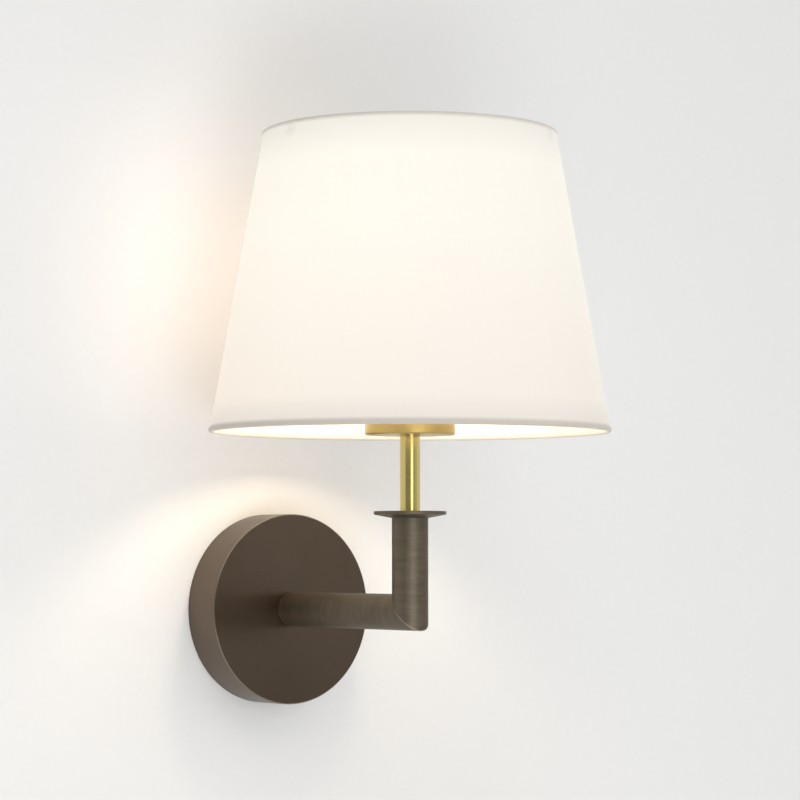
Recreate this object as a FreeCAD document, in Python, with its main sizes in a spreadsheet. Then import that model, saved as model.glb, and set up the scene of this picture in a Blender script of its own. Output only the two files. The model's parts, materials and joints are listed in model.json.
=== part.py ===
import FreeCAD, Part

import math
import os
import re

import Sketcher

# A wall lamp: a round wall plate, an arm mitred to an upright tube, a stem, a lampholder and a fabric shade.
# Frame: the wall is the plane y = 0, the room is towards -Y, +Z is up, and the arm's axis is at z = 0.

# Driving sizes in millimetres.
SIZES = {
    # Fits, shared by all pieces
    "cut_overrun": 1.0,
    "slip_gap": 0.05,
    "thread_dia": 10.0,
    "thread_gap": 0.05,
    "tube_bore_dia": 7.5,
    # Wall plate, a pressed cup
    "plate_dia": 110.0,
    "plate_depth": 25.8,
    "plate_side_wall": 2.0,
    "plate_face_wall": 2.5,
    "plate_edge_chamfer": 0.5,
    "plate_inner_chamfer": 1.5,
    # Wall bracket, a strap with two bent tabs
    "bracket_gap": 2.0,
    "bracket_width": 24.0,
    "bracket_sheet": 1.5,
    "bracket_tab": 12.0,
    "bracket_bend": 1.0,
    "bracket_corner": 3.0,
    "slot_margin": 9.0,
    "slot_length": 12.0,
    "slot_width": 5.0,
    "cable_hole_dia": 12.0,
    "cable_hole_up": 14.0,
    # Set screws that hold the plate on the bracket
    "cover_screw_dia": 4.0,
    "cover_screw_length": 6.0,
    "cover_screw_out": 7.5,
    "cover_screw_recess": 0.3,
    "cover_screw_key": 2.0,
    "cover_screw_key_depth": 2.0,
    # Arm and upright, one tube size
    "tube_dia": 20.0,
    "tube_wall": 1.5,
    "arm_reach": 135.4,
    "upright_height": 51.8,
    # Fixing of the arm on the plate
    "bush_length": 14.0,
    "nipple_grip": 12.0,
    "nipple_stick_out": 1.3,
    "arm_washer_dia": 18.0,
    "arm_washer_thick": 1.0,
    "arm_nut_flats": 14.0,
    "arm_nut_height": 4.0,
    # Collar on the upright
    "collar_dia": 40.0,
    "collar_rim": 1.9,
    "collar_cone": 1.9,
    "collar_edge": 0.25,
    "collar_spigot": 11.8,
    # Brass stem and its threaded rod
    "stem_dia": 11.0,
    "stem_length": 41.9,
    "rod_in_holder": 11.0,
    # Brass cup under the lampholder
    "cup_dia": 49.6,
    "cup_height": 24.2,
    "cup_wall": 1.0,
    "cup_floor": 1.2,
    "cup_edge": 0.6,
    # Lampholder base
    "base_dia": 45.0,
    "base_bore_dia": 37.0,
    "base_floor": 3.0,
    "base_edge": 1.5,
    "base_ledge_wall": 2.4,
    "boss_dia": 16.0,
    "boss_height": 10.0,
    # Lampholder skirt, threaded outside for the shade ring
    "skirt_dia": 39.5,
    "skirt_wall": 2.2,
    "skirt_height": 36.0,
    "skirt_edge": 0.8,
    "skirt_flange_dia": 49.6,
    "skirt_flange_thick": 2.5,
    "skirt_lip": 2.0,
    "skirt_mouth_dia": 30.0,
    # Lampholder core and contacts
    "core_flange_thick": 2.0,
    "core_height": 10.3,
    "core_hole_dia": 3.0,
    "core_clearance": 0.25,
    "shell_dia": 27.7,
    "shell_sheet": 0.4,
    "shell_foot_dia": 19.0,
    "contact_sheet": 0.5,
    "contact_width": 5.0,
    "contact_rise": 2.7,
    "contact_foot": 8.0,
    "contact_bend": 3.5,
    "contact_crown": 0.8,
    "contact_tip": 3.0,
    "terminal_out": 13.0,
    "terminal_side": 5.0,
    "terminal_height": 4.0,
    "terminal_hole_dia": 2.4,
    "terminal_hole_depth": 3.0,
    "holder_screw_dia": 2.4,
    "holder_screw_head_dia": 3.8,
    "holder_screw_head": 1.5,
    # Shade ring
    "ring_gap": 0.08,
    "ring_flange_dia": 55.0,
    "ring_flange_thick": 2.5,
    "ring_grip_dia": 48.0,
    "ring_height": 9.0,
    "ring_edge": 0.6,
    "ring_flute_dia": 3.0,
    "ring_flute_depth": 0.8,
    # Carrier of the shade
    "carrier_dia": 66.0,
    "carrier_bore_dia": 42.0,
    "carrier_sheet": 1.5,
    "carrier_wire_dia": 2.4,
    "carrier_foot_start": 28.6,
    "carrier_foot_end": 35.5,
    "carrier_top_run": 7.45,
    "carrier_bend": 6.0,
    # Shade
    "shade_drop": 25.3,
    "shade_height": 165.7,
    "shade_bottom_dia": 222.0,
    "shade_top_dia": 164.2,
    "cloth_thick": 0.55,
    "liner_thick": 0.8,
    "hem_wire_dia": 2.0,
    "hem_cloth_inset": 0.8,
    "hem_slit": 3.4,
    # Bulb with a screw cap
    "bulb_length": 108.0,
    "bulb_dia": 60.0,
    "bulb_neck_dia": 28.0,
    "bulb_glass_wall": 1.0,
    "cap_length": 27.0,
    "cap_dia": 26.3,
    "cap_sheet": 0.4,
    "cap_flare_dia": 28.6,
    "cap_flare_height": 2.5,
    "cap_shoulder_low": 5.6,
    "cap_shoulder_high": 8.2,
    "cap_mouth_dia": 18.6,
    "insulator_top": 6.8,
    "insulator_side": 5.0,
    "insulator_dia": 17.8,
    "insulator_nose_dia": 11.0,
    "bulb_contact_dia": 9.0,
    "bulb_contact_face_dia": 6.0,
    "bulb_contact_bevel": 0.5,
    "bulb_contact_height": 1.2,
    # Terminal block on the bracket
    "block_drop": 26.0,
    "block_width": 26.0,
    "block_length": 15.0,
    "block_height": 13.0,
    "block_slab": 4.5,
    "pole_pitch": 9.0,
    "pole_width": 4.8,
    "pole_axis": 5.5,
    "sleeve_side": 3.9,
    "sleeve_bore_dia": 3.0,
    "sleeve_length": 13.0,
    "pole_well_dia": 3.2,
    "pole_screw_dia": 2.4,
    "pole_screw_sunk": 2.0,
    "pole_screw_row": 3.2,
    "fixing_dia": 2.5,
    "fixing_head_dia": 3.6,
    "fixing_head": 1.6,
    # Earth point on the plate's inner face
    "earth_across": 27.0,
    "earth_down": 18.0,
    "earth_stud_dia": 4.0,
    "earth_stud_length": 8.0,
    "earth_washer_dia": 8.0,
    "earth_washer_thick": 0.8,
    "earth_nut_flats": 7.0,
    "earth_nut_height": 3.2,
    "tag_neck": 1.0,
    "tag_neck_width": 3.0,
    "tag_barrel_dia": 3.4,
    "tag_barrel_length": 6.0,
    "tag_barrel_up": 2.0,
    # Wiring
    "wire_dia": 2.0,
    "wire_spread": 1.3,
    "wire_elbow_bend": 20.0,
    "wire_in_pole": 5.5,
    "wire_lead_in": 5.5,
    "wire_loop_back": 9.0,
    "wire_top_loop": 2.3,
    "earth_wire_rise": 6.0,
    "earth_wire_forward": 6.5,
}

# Sizes that follow from the driving ones, worked out in the same sheet.
LINKED = {
    "thread_hole": "thread_dia / 2 + thread_gap",
    "plate_inner_face": "plate_depth - plate_face_wall",
    "bracket_half": "plate_dia / 2 - plate_side_wall - bracket_gap",
    "slot_centre": "bracket_half - slot_margin",
    "nipple_start": "plate_inner_face - arm_washer_thick - arm_nut_height - nipple_stick_out",
    "arm_run": "arm_reach - plate_depth",
    "mitre_reach": "tube_dia / 2 + cut_overrun",
    "tube_bore": "tube_dia - 2 * tube_wall",
    "collar_top": "upright_height + collar_cone + collar_rim",
    "cup_bottom": "collar_top + stem_length",
    "cup_top": "cup_bottom + cup_height",
    "base_bottom": "cup_bottom + cup_floor",
    "base_height": "cup_height - cup_floor",
    "ledge_level": "base_height - core_flange_thick",
    "core_bottom": "cup_top - core_flange_thick",
    "core_top": "core_bottom + core_height",
    "core_column": "skirt_dia / 2 - skirt_wall - core_clearance",
    "core_flange": "base_dia / 2 - base_ledge_wall - core_clearance",
    "terminal_level": "core_bottom - terminal_height",
    "seat_level": "cup_top + skirt_flange_thick",
    "ring_level": "seat_level + carrier_sheet",
    "bulb_bottom": "core_top + contact_rise",
    "bulb_centre": "bulb_length - bulb_dia / 2",
    "shade_bottom": "seat_level - shade_drop",
    "hem_size": "hem_wire_dia / 2 + slip_gap + cloth_thick",
    "hem_bore": "hem_wire_dia / 2 + slip_gap",
    "cloth_join": "hem_size * sin(60)",
    "low_hem_out": "shade_bottom_dia / 2 - hem_size",
    "low_hem_up": "cloth_join",
    "top_hem_out": "shade_top_dia / 2 - hem_size",
    "top_hem_up": "shade_height - cloth_join",
    "liner_inset": "cloth_thick + slip_gap",
    "carrier_foot_up": "shade_drop + carrier_sheet + carrier_wire_dia / 2",
    "carrier_end": "top_hem_out - hem_wire_dia / 2 - slip_gap",
    "carrier_turn": "carrier_end - carrier_top_run",
    "block_level": "bracket_sheet",
}

# Counts and shares, which don't change with the size of the lamp.
RING_FLUTES = 12
CARRIER_ARMS = 3
FIRST_ARM_TURN = 60
POLES = 3
NUT_SIDES = 6
BAR_SIDES = 8
HEM_SIDES = 6
WIRE_SIDES = 6
WIRE_BEND_SHARE = 0.45

TOWARDS_ROOM = FreeCAD.Rotation(FreeCAD.Vector(1, 0, 0), 90)
TOWARDS_WALL = FreeCAD.Rotation(FreeCAD.Vector(1, 0, 0), -90)

DOC = FreeCAD.newDocument("WallLamp")
SHEET = DOC.addObject("Spreadsheet::Sheet", "Sizes")
PIECES = []


def fill_sheet():
    rows = [(name, str(size)) for name, size in SIZES.items()]
    rows += [(name, "=" + text) for name, text in LINKED.items()]
    for row, (name, content) in enumerate(rows, start=1):
        SHEET.set(f"A{row}", name)
        SHEET.set(f"B{row}", content)
        SHEET.setAlias(f"B{row}", name)
    DOC.recompute()


def value(text):
    return float(SHEET.evalExpression(text))


def bind(target, prop, text):
    """Tie a property to the sheet; every size name has an underscore in it."""
    linked = re.sub(r"[a-z]+(?:_[a-z]+)+", lambda word: "Sizes." + word.group(0), text)
    target.setExpression(prop, linked)


def origin_feature(body, role):
    return next(item for item in body.Origin.OriginFeatures if item.Role == role)


def place(piece, at, turn):
    piece.Placement = FreeCAD.Placement(FreeCAD.Vector(), turn or FreeCAD.Rotation())
    for axis, text in zip("xyz", at):
        if text != "0":
            bind(piece, "Placement.Base." + axis, text)


def new_body(label, at=("0", "0", "0"), turn=None):
    body = DOC.addObject("PartDesign::Body", label)
    body.Label = label
    body.AllowCompound = True
    place(body, at, turn)
    PIECES.append(body)
    return body


def new_sketch(body, role, level="0"):
    sketch = body.newObject("Sketcher::SketchObject", body.Name + "_sketch")
    sketch.AttachmentSupport = (origin_feature(body, role), "")
    sketch.MapMode = "FlatFace"
    if level != "0":
        bind(sketch, "AttachmentOffset.Base.z", level)
    return sketch


def dimension(sketch, constraint, text):
    index = sketch.addConstraint(constraint)
    bind(sketch, f"Constraints[{index}]", text)


def pin(sketch, edge, end, across, up):
    """Hold one end of an edge at its place in the sketch."""
    for kind, axis, text in (("DistanceX", -2, across), ("DistanceY", -1, up)):
        if text == "0":
            sketch.addConstraint(Sketcher.Constraint("PointOnObject", edge, end, axis))
        else:
            dimension(sketch, Sketcher.Constraint(kind, -1, 1, edge, end, value(text)), text)


def point(across, up):
    return FreeCAD.Vector(value(across), value(up), 0)


def add_outline(sketch, corners):
    """A closed outline of straight edges through the corners."""
    points = [point(across, up) for across, up in corners]
    count = len(corners)
    first = sketch.GeometryCount
    for index in range(count):
        sketch.addGeometry(Part.LineSegment(points[index], points[(index + 1) % count]), False)
    for index in range(count):
        following = first + (index + 1) % count
        sketch.addConstraint(Sketcher.Constraint("Coincident", first + index, 2, following, 1))
    for index, (across, up) in enumerate(corners):
        pin(sketch, first + index, 1, across, up)


def add_circle(sketch, dia, across="0", up="0"):
    circle = Part.Circle(point(across, up), FreeCAD.Vector(0, 0, 1), value(dia) / 2)
    edge = sketch.addGeometry(circle, False)
    dimension(sketch, Sketcher.Constraint("Diameter", edge, value(dia)), dia)
    pin(sketch, edge, 3, across, up)


def add_rectangle(sketch, width, height, across="0", up="0"):
    left, right = f"{across} - ({width}) / 2", f"{across} + ({width}) / 2"
    low, high = f"{up} - ({height}) / 2", f"{up} + ({height}) / 2"
    add_outline(sketch, [(left, low), (right, low), (right, high), (left, high)])


def add_regular(sketch, sides, flats, across="0", up="0"):
    """A regular outline with an even count of sides, one of its flats level; flats is its size across them."""
    half_side = 180 / sides
    corners = []
    for index in range(sides):
        turn = 90 + half_side * (2 * index + 1)
        reach = f"({flats}) / 2 / cos({half_side})"
        corners.append((f"{across} + {reach} * cos({turn})", f"{up} + {reach} * sin({turn})"))
    add_outline(sketch, corners)


def add_upright_slot(sketch, length, width, up):
    """A slot with round ends, its length along the sketch's second axis."""
    radius = value(width) / 2
    top = f"{up} + ({length} - {width}) / 2"
    low = f"{up} - ({length} - {width}) / 2"
    arcs = []
    for centre, start, end in ((top, 0, math.pi), (low, math.pi, 2 * math.pi)):
        circle = Part.Circle(point("0", centre), FreeCAD.Vector(0, 0, 1), radius)
        arcs.append(sketch.addGeometry(Part.ArcOfCircle(circle, start, end), False))
    sides = []
    for side in (-1, 1):
        ends = [FreeCAD.Vector(side * radius, value(level), 0) for level in (top, low)]
        sides.append(sketch.addGeometry(Part.LineSegment(*ends), False))
    for side, top_end, low_end in ((sides[0], 2, 1), (sides[1], 1, 2)):
        sketch.addConstraint(Sketcher.Constraint("Tangent", side, 1, arcs[0], top_end))
        sketch.addConstraint(Sketcher.Constraint("Tangent", side, 2, arcs[1], low_end))
    dimension(sketch, Sketcher.Constraint("Radius", arcs[0], radius), f"{width} / 2")
    for arc, centre in zip(arcs, (top, low)):
        pin(sketch, arc, 3, "0", centre)


def add_bent_path(sketch, corners, bend):
    """Straight runs through the corners, joined by tangent arcs of one radius."""
    points = [point(across, up) for across, up in corners]
    runs = len(corners) - 1
    for start, end in zip(points, points[1:]):
        sketch.addGeometry(Part.LineSegment(start, end), False)
    for run in range(runs - 1):
        sketch.addConstraint(Sketcher.Constraint("Coincident", run, 2, run + 1, 1))
    for run in range(runs):
        pin(sketch, run, 1, *corners[run])
    pin(sketch, runs - 1, 2, *corners[-1])
    DOC.recompute()
    for run in range(runs - 1):
        middles = [(points[run + step] + points[run + step + 1]) * 0.5 for step in (0, 1)]
        arc = sketch.GeometryCount
        sketch.fillet(run, run + 1, *middles, value(bend), True, True)
        dimension(sketch, Sketcher.Constraint("Radius", arc, value(bend)), bend)


def feature(body, kind, profile):
    made = body.newObject("PartDesign::" + kind, body.Name + "_" + kind)
    made.Profile = profile
    return made


def pad(body, sketch, length, both_ways=False, reverse=False):
    made = feature(body, "Pad", sketch)
    made.Midplane = both_ways
    made.Reversed = reverse
    bind(made, "Length", length)
    return made


def cut_through(body, sketch):
    made = feature(body, "Pocket", sketch)
    made.Type = "ThroughAll"
    made.Midplane = True
    return made


def cut(body, sketch, depth, reverse=False):
    made = feature(body, "Pocket", sketch)
    made.Reversed = reverse
    bind(made, "Length", depth)
    return made


def spin(body, corners):
    """A turned piece: the corners are (radius, height) about the body's Z axis."""
    sketch = new_sketch(body, "XZ_Plane")
    add_outline(sketch, corners)
    made = feature(body, "Revolution", sketch)
    made.ReferenceAxis = (sketch, ["V_Axis"])
    made.Angle = 360
    return made


def rod(label, length, outer, inner, at=("0", "0", "0"), turn=None):
    """A plain tube or washer along its body's Z axis."""
    body = new_body(label, at, turn)
    sketch = new_sketch(body, "XY_Plane")
    add_circle(sketch, outer)
    add_circle(sketch, inner)
    pad(body, sketch, length)
    return body


def around(body, features, count):
    pattern = body.newObject("PartDesign::PolarPattern", body.Name + "_around")
    pattern.Originals = features
    pattern.Axis = (origin_feature(body, "Z_Axis"), [""])
    pattern.Angle = 360
    pattern.Occurrences = count
    body.Tip = pattern


def along_x(body, features, pitch, count):
    """Copies side by side, the first at the body's left."""
    pattern = body.newObject("PartDesign::LinearPattern", body.Name + "_row")
    pattern.Originals = features
    pattern.Direction = (origin_feature(body, "X_Axis"), [""])
    bind(pattern, "Length", f"{pitch} * {count - 1}")
    pattern.Occurrences = count
    body.Tip = pattern


def mirror(body, features, role):
    mirrored = body.newObject("PartDesign::Mirrored", body.Name + "_mirror")
    mirrored.Originals = features
    mirrored.MirrorPlane = (origin_feature(body, role), [""])
    body.Tip = mirrored


def round_edges(body, base, test, radius):
    """Round the base's straight edges that pass the test on their middle point and direction."""
    DOC.recompute()
    names = []
    for number, edge in enumerate(base.Shape.Edges, start=1):
        if isinstance(edge.Curve, Part.Line) and test(edge.CenterOfMass, edge.tangentAt(edge.FirstParameter)):
            names.append(f"Edge{number}")
    made = body.newObject("PartDesign::Fillet", body.Name + "_round")
    made.Base = (base, names)
    bind(made, "Radius", radius)
    return made


# Wall plate and what fixes it


def backplate():
    body = new_body("backplate", turn=TOWARDS_ROOM)
    inner = "plate_dia / 2 - plate_side_wall"
    spin(body, [
        (inner, "0"),
        ("plate_dia / 2", "0"),
        ("plate_dia / 2", "plate_depth - plate_edge_chamfer"),
        ("plate_dia / 2 - plate_edge_chamfer", "plate_depth"),
        ("thread_hole", "plate_depth"),
        ("thread_hole", "plate_inner_face"),
        (inner + " - plate_inner_chamfer", "plate_inner_face"),
        (inner, "plate_inner_face - plate_inner_chamfer"),
    ])
    sides = new_sketch(body, "XZ_Plane")
    add_circle(sides, "cover_screw_dia + 2 * thread_gap", up="cover_screw_out")
    cut_through(body, sides)


def wall_bracket():
    body = new_body("wall_bracket")
    strap = new_sketch(body, "YZ_Plane")
    inner = "bracket_half - bracket_sheet"
    add_outline(strap, [
        ("0", "-bracket_half"),
        ("0", "bracket_half"),
        ("-bracket_tab", "bracket_half"),
        ("-bracket_tab", inner),
        ("-bracket_sheet", inner),
        ("-bracket_sheet", f"-({inner})"),
        ("-bracket_tab", f"-({inner})"),
        ("-bracket_tab", "-bracket_half"),
    ])
    sheet = pad(body, strap, "bracket_width", both_ways=True)
    half, tab, thick = value("bracket_half"), value("bracket_tab"), value("bracket_sheet")
    near = value("slip_gap")
    inside = round_edges(
        body, sheet,
        lambda mid, way: abs(way.x) > 0.9 and abs(mid.y + thick) < near and abs(mid.z) < half,
        "bracket_bend",
    )
    outside = round_edges(
        body, inside,
        lambda mid, way: abs(way.x) > 0.9 and abs(mid.y) < near,
        "bracket_bend + bracket_sheet",
    )
    round_edges(
        body, outside,
        lambda mid, way: abs(way.z) > 0.9 and abs(mid.y + tab) < near,
        "bracket_corner",
    )
    face = new_sketch(body, "XZ_Plane")
    for side in ("", "-"):
        add_upright_slot(face, "slot_length", "slot_width", side + "slot_centre")
        add_circle(face, "fixing_dia + 2 * thread_gap", side + "pole_pitch / 2", "-block_drop")
    add_circle(face, "cable_hole_dia", up="cable_hole_up")
    cut_through(body, face)
    tabs = new_sketch(body, "XY_Plane")
    add_circle(tabs, "cover_screw_dia + 2 * thread_gap", up="-cover_screw_out")
    cut_through(body, tabs)


def cover_screws():
    body = new_body("cover_screws")
    outer = new_sketch(body, "XY_Plane", "plate_dia / 2 - cover_screw_recess")
    add_circle(outer, "cover_screw_dia", up="-cover_screw_out")
    shank = pad(body, outer, "cover_screw_length", reverse=True)
    key = new_sketch(body, "XY_Plane", "plate_dia / 2 - cover_screw_recess")
    add_regular(key, NUT_SIDES, "cover_screw_key", up="-cover_screw_out")
    socket = cut(body, key, "cover_screw_key_depth")
    mirror(body, [shank, socket], "XY_Plane")


# Arm and upright


def arm_tube():
    body = rod(
        "arm_tube", "arm_run + mitre_reach", "tube_dia", "tube_bore",
        at=("0", "-plate_depth", "0"), turn=TOWARDS_ROOM,
    )
    mitre = new_sketch(body, "YZ_Plane")
    add_outline(mitre, [
        ("mitre_reach", "arm_run - mitre_reach"),
        ("mitre_reach", "arm_run + mitre_reach"),
        ("-mitre_reach", "arm_run + mitre_reach"),
    ])
    cut_through(body, mitre)


def upright_tube():
    body = new_body("upright_tube", at=("0", "-arm_reach", "0"))
    section = new_sketch(body, "XY_Plane", "-mitre_reach")
    add_circle(section, "tube_dia")
    add_circle(section, "tube_bore")
    pad(body, section, "upright_height + mitre_reach")
    mitre = new_sketch(body, "YZ_Plane")
    add_outline(mitre, [
        ("-mitre_reach", "-mitre_reach"),
        ("mitre_reach", "-mitre_reach"),
        ("mitre_reach", "mitre_reach"),
    ])
    cut_through(body, mitre)


def arm_fixing():
    rod(
        "arm_bush", "bush_length", "tube_bore - 2 * slip_gap", "2 * thread_hole",
        at=("0", "-plate_depth", "0"), turn=TOWARDS_ROOM,
    )
    rod(
        "arm_nipple", "plate_depth + nipple_grip - nipple_start", "thread_dia", "tube_bore_dia",
        at=("0", "-nipple_start", "0"), turn=TOWARDS_ROOM,
    )
    rod(
        "arm_washer", "arm_washer_thick", "arm_washer_dia", "2 * thread_hole",
        at=("0", "-plate_inner_face", "0"), turn=TOWARDS_WALL,
    )
    nut = new_body("arm_nut", at=("0", "arm_washer_thick - plate_inner_face", "0"), turn=TOWARDS_WALL)
    section = new_sketch(nut, "XY_Plane")
    add_regular(section, NUT_SIDES, "arm_nut_flats")
    add_circle(section, "2 * thread_hole")
    pad(nut, section, "arm_nut_height")


def collar():
    body = new_body("collar", at=("0", "-arm_reach", "upright_height"))
    spigot = "tube_bore / 2 - slip_gap"
    rim = "collar_dia / 2"
    top = "collar_cone + collar_rim"
    spin(body, [
        ("thread_hole", "-collar_spigot"),
        (spigot, "-collar_spigot"),
        (spigot, "0"),
        ("tube_dia / 2", "0"),
        (rim + " - collar_edge", "collar_cone"),
        (rim, "collar_cone + collar_edge"),
        (rim, top + " - collar_edge"),
        (rim + " - collar_edge", top),
        ("thread_hole", top),
    ])


# Stem, cup and lampholder


def stem():
    axis = ("0", "-arm_reach", "collar_top")
    rod("stem_sleeve", "stem_length", "stem_dia", "2 * thread_hole", at=axis)
    rod(
        "stem_rod", "base_bottom + rod_in_holder + collar_spigot - upright_height",
        "thread_dia", "tube_bore_dia",
        at=("0", "-arm_reach", "upright_height - collar_spigot"),
    )


def lampholder_cup():
    body = new_body("lampholder_cup", at=("0", "-arm_reach", "cup_bottom"))
    outer = "cup_dia / 2"
    inner = "cup_dia / 2 - cup_wall"
    spin(body, [
        ("thread_hole", "0"),
        (outer + " - cup_edge", "0"),
        (outer, "cup_edge"),
        (outer, "cup_height"),
        (inner, "cup_height"),
        (inner, "cup_floor"),
        ("thread_hole", "cup_floor"),
    ])


def holder_base():
    body = new_body("holder_base", at=("0", "-arm_reach", "base_bottom"))
    outer = "base_dia / 2"
    spin(body, [
        ("thread_hole", "0"),
        (outer + " - base_edge", "0"),
        (outer, "base_edge"),
        (outer, "base_height"),
        (outer + " - base_ledge_wall", "base_height"),
        (outer + " - base_ledge_wall", "ledge_level"),
        ("base_bore_dia / 2", "ledge_level"),
        ("base_bore_dia / 2", "base_floor"),
        ("boss_dia / 2", "base_floor"),
        ("boss_dia / 2", "boss_height"),
        ("thread_hole", "boss_height"),
    ])


def holder_skirt():
    body = new_body("holder_skirt", at=("0", "-arm_reach", "cup_top"))
    outer = "skirt_dia / 2"
    inner = "skirt_dia / 2 - skirt_wall"
    spin(body, [
        (inner, "0"),
        ("skirt_flange_dia / 2", "0"),
        ("skirt_flange_dia / 2", "skirt_flange_thick"),
        (outer, "skirt_flange_thick"),
        (outer, "skirt_height - skirt_edge"),
        (outer + " - skirt_edge", "skirt_height"),
        ("skirt_mouth_dia / 2", "skirt_height"),
        ("skirt_mouth_dia / 2", "skirt_height - skirt_lip"),
        (inner, "skirt_height - skirt_lip"),
    ])


def holder_core():
    body = new_body("holder_core", at=("0", "-arm_reach", "core_bottom"))
    spin(body, [
        ("core_hole_dia / 2", "0"),
        ("core_flange", "0"),
        ("core_flange", "core_flange_thick"),
        ("core_column", "core_flange_thick"),
        ("core_column", "core_height"),
        ("core_hole_dia / 2", "core_height"),
    ])


def holder_thread_shell():
    body = new_body("holder_thread_shell", at=("0", "-arm_reach", "core_top"))
    outer = "shell_dia / 2"
    height = "skirt_height + cup_top - core_top - skirt_lip"
    spin(body, [
        ("shell_foot_dia / 2", "0"),
        (outer, "0"),
        (outer, height),
        (outer + " - shell_sheet", height),
        (outer + " - shell_sheet", "shell_sheet"),
        ("shell_foot_dia / 2", "shell_sheet"),
    ])


def centre_contact():
    """A sprung strip: a flat foot on the core, a slope, and a flat tip under the bulb."""
    body = new_body("centre_contact", at=("0", "-arm_reach", "core_top"))
    side = new_sketch(body, "XZ_Plane")
    under = "contact_rise - contact_sheet"
    add_outline(side, [
        ("-contact_foot", "0"),
        ("-contact_bend", "0"),
        ("-contact_crown", under),
        ("contact_tip", under),
        ("contact_tip", "contact_rise"),
        ("-contact_crown - contact_sheet / 2", "contact_rise"),
        ("-contact_bend - contact_sheet / 2", "contact_sheet"),
        ("-contact_foot", "contact_sheet"),
    ])
    pad(body, side, "contact_width", both_ways=True)


def holder_terminals():
    body = new_body("holder_terminals", at=("0", "-arm_reach", "terminal_level"))
    foot = new_sketch(body, "XY_Plane")
    add_rectangle(foot, "terminal_side", "terminal_side", "terminal_out")
    block = pad(body, foot, "terminal_height")
    wire = new_sketch(body, "XY_Plane")
    add_circle(wire, "terminal_hole_dia", "terminal_out")
    bore = cut(body, wire, "terminal_hole_depth", reverse=True)
    side = new_sketch(body, "YZ_Plane", "terminal_out + terminal_side / 2")
    add_circle(side, "holder_screw_dia + 2 * thread_gap", up="terminal_height / 2")
    hole = cut(body, side, "terminal_side / 2")
    mirror(body, [block, bore, hole], "YZ_Plane")


def holder_terminal_screws():
    body = new_body("holder_terminal_screws", at=("0", "-arm_reach", "terminal_level"))
    face = "terminal_out + terminal_side / 2"
    tip = new_sketch(body, "YZ_Plane", face)
    add_circle(tip, "holder_screw_dia", up="terminal_height / 2")
    shank = pad(body, tip, "terminal_side / 2 - wire_dia / 2 - slip_gap", reverse=True)
    top = new_sketch(body, "YZ_Plane", face)
    add_circle(top, "holder_screw_head_dia", up="terminal_height / 2")
    head = pad(body, top, "holder_screw_head")
    mirror(body, [shank, head], "YZ_Plane")


# Shade and its carrier


def shade_ring():
    body = new_body("shade_ring", at=("0", "-arm_reach", "ring_level"))
    bore = "skirt_dia / 2 + ring_gap"
    grip = "ring_grip_dia / 2"
    spin(body, [
        (bore, "0"),
        ("ring_flange_dia / 2", "0"),
        ("ring_flange_dia / 2", "ring_flange_thick"),
        (grip, "ring_flange_thick"),
        (grip, "ring_height - ring_edge"),
        (grip + " - ring_edge", "ring_height"),
        (bore, "ring_height"),
    ])
    top = new_sketch(body, "XY_Plane", "ring_height")
    add_circle(top, "ring_flute_dia", grip + " + ring_flute_dia / 2 - ring_flute_depth")
    flute = cut(body, top, "ring_height - ring_flange_thick")
    around(body, [flute], RING_FLUTES)


def carrier_ring():
    rod(
        "carrier_ring", "carrier_sheet", "carrier_dia", "carrier_bore_dia",
        at=("0", "-arm_reach", "seat_level"),
    )


def carrier_arms():
    """Wires that rise from the carrier ring and turn out level to the top ring."""
    turn = FreeCAD.Rotation(FreeCAD.Vector(0, 0, 1), FIRST_ARM_TURN)
    body = new_body("carrier_arms", at=("0", "-arm_reach", "shade_bottom"), turn=turn)
    path = new_sketch(body, "XZ_Plane")
    add_bent_path(path, [
        ("carrier_foot_start", "carrier_foot_up"),
        ("carrier_foot_end", "carrier_foot_up"),
        ("carrier_turn", "top_hem_up"),
        ("carrier_end", "top_hem_up"),
    ], "carrier_bend")
    section = new_sketch(body, "YZ_Plane", "carrier_foot_start")
    add_regular(section, BAR_SIDES, "carrier_wire_dia", up="carrier_foot_up")
    wire = feature(body, "AdditivePipe", section)
    wire.Spine = (path, [])
    around(body, [wire], CARRIER_ARMS)


def hem_corners(out, up, size, first, step):
    """Corners round a hem's wire, as places on a circle of that size about the wire's centre."""
    turns = [first + step * index for index in range(HEM_SIDES)]
    return [(f"{out} + {size} * cos({turn})", f"{up} + {size} * sin({turn})") for turn in turns]


def hem_ring(label, out, up):
    """The wire inside a hem, with flats that lie against the hem's own."""
    body = new_body(label, at=("0", "-arm_reach", "shade_bottom"))
    spin(body, hem_corners(out, up, "hem_wire_dia / 2", 60, 360 // HEM_SIDES))


def shade_liner():
    body = new_body("shade_liner", at=("0", "-arm_reach", "shade_bottom"))
    low_out = "low_hem_out + hem_cloth_inset - liner_inset"
    top_out = "top_hem_out + hem_cloth_inset - liner_inset"
    low_up = "low_hem_up + cloth_join"
    top_up = "top_hem_up - cloth_join"
    spin(body, [
        (low_out, low_up),
        (top_out, top_up),
        (top_out + " - liner_thick", top_up),
        (low_out + " - liner_thick", low_up),
    ])


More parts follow.
